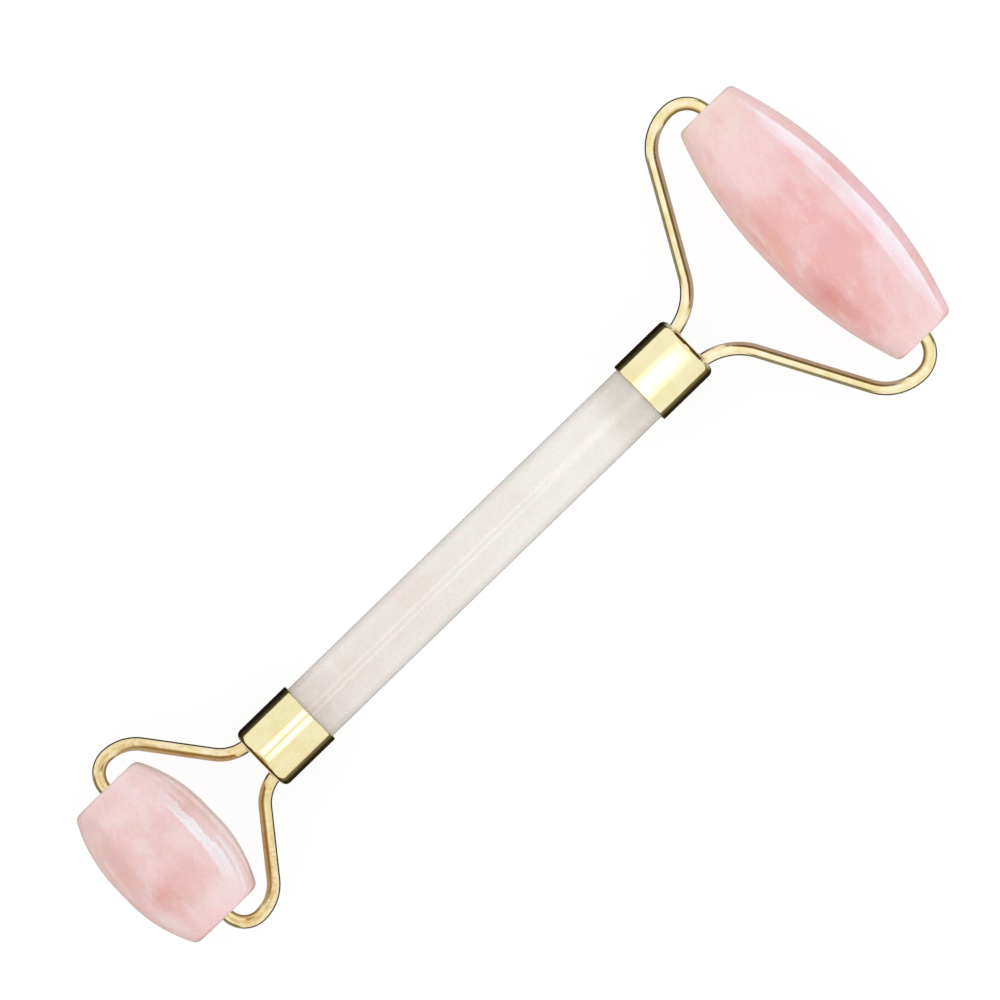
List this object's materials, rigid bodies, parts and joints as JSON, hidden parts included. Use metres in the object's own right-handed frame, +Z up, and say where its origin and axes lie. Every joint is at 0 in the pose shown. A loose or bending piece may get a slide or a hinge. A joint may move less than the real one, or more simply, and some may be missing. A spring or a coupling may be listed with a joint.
{
  "type": "face roller",
  "caption": "Two-ended face massage roller: a stone handle with metal ferrules and bent wire arms that carry a long and a short barrel-shaped stone head, each free to turn.",
  "frame": {"origin": "on the surface that both heads rest on, below the middle of the whole object", "axes": "+X along the handle towards the large head, +Y along the spin axes towards the left arms, +Z up"},
  "size_m": [0.145, 0.0536, 0.0175],
  "materials": {
    "handle_stone": "polished, milky white rose quartz with faint pink clouds",
    "large_head_stone": "polished, cloudy pink rose quartz",
    "small_head_stone": "polished, paler cloudy pink rose quartz",
    "gold_ferrule": "polished pale gold plating",
    "gold_wire": "polished pale gold plating",
    "gold_solder": "satin, plated over braze metal",
    "nylon": "natural white nylon",
    "epoxy": "set clear epoxy, slightly yellow"
  },
  "bodies": {
    "handle": {"handle_rod": "handle_stone", "large_ferrule": "gold_ferrule", "small_ferrule": "gold_ferrule", "large_adhesive": "epoxy", "small_adhesive": "epoxy", "large_arm_left": "gold_wire", "large_arm_right": "gold_wire", "small_arm_left": "gold_wire", "small_arm_right": "gold_wire", "large_solder_left": "gold_solder", "large_solder_right": "gold_solder", "small_solder_left": "gold_solder", "small_solder_right": "gold_solder"},
    "large_roller": {"large_head": "large_head_stone", "large_bush_left": "nylon", "large_bush_right": "nylon"},
    "small_roller": {"small_head": "small_head_stone", "small_bush_left": "nylon", "small_bush_right": "nylon"}
  },
  "joints": [
    {"name": "large_head_spin", "type": "hinge", "parent": "handle", "child": "large_roller", "pos_m": [0.06375, 0, 0.00875], "axis": [0, 1, 0], "continuous": true},
    {"name": "small_head_spin", "type": "hinge", "parent": "handle", "child": "small_roller", "pos_m": [-0.06375, 0, 0.00875], "axis": [0, 1, 0], "continuous": true}
  ]
}
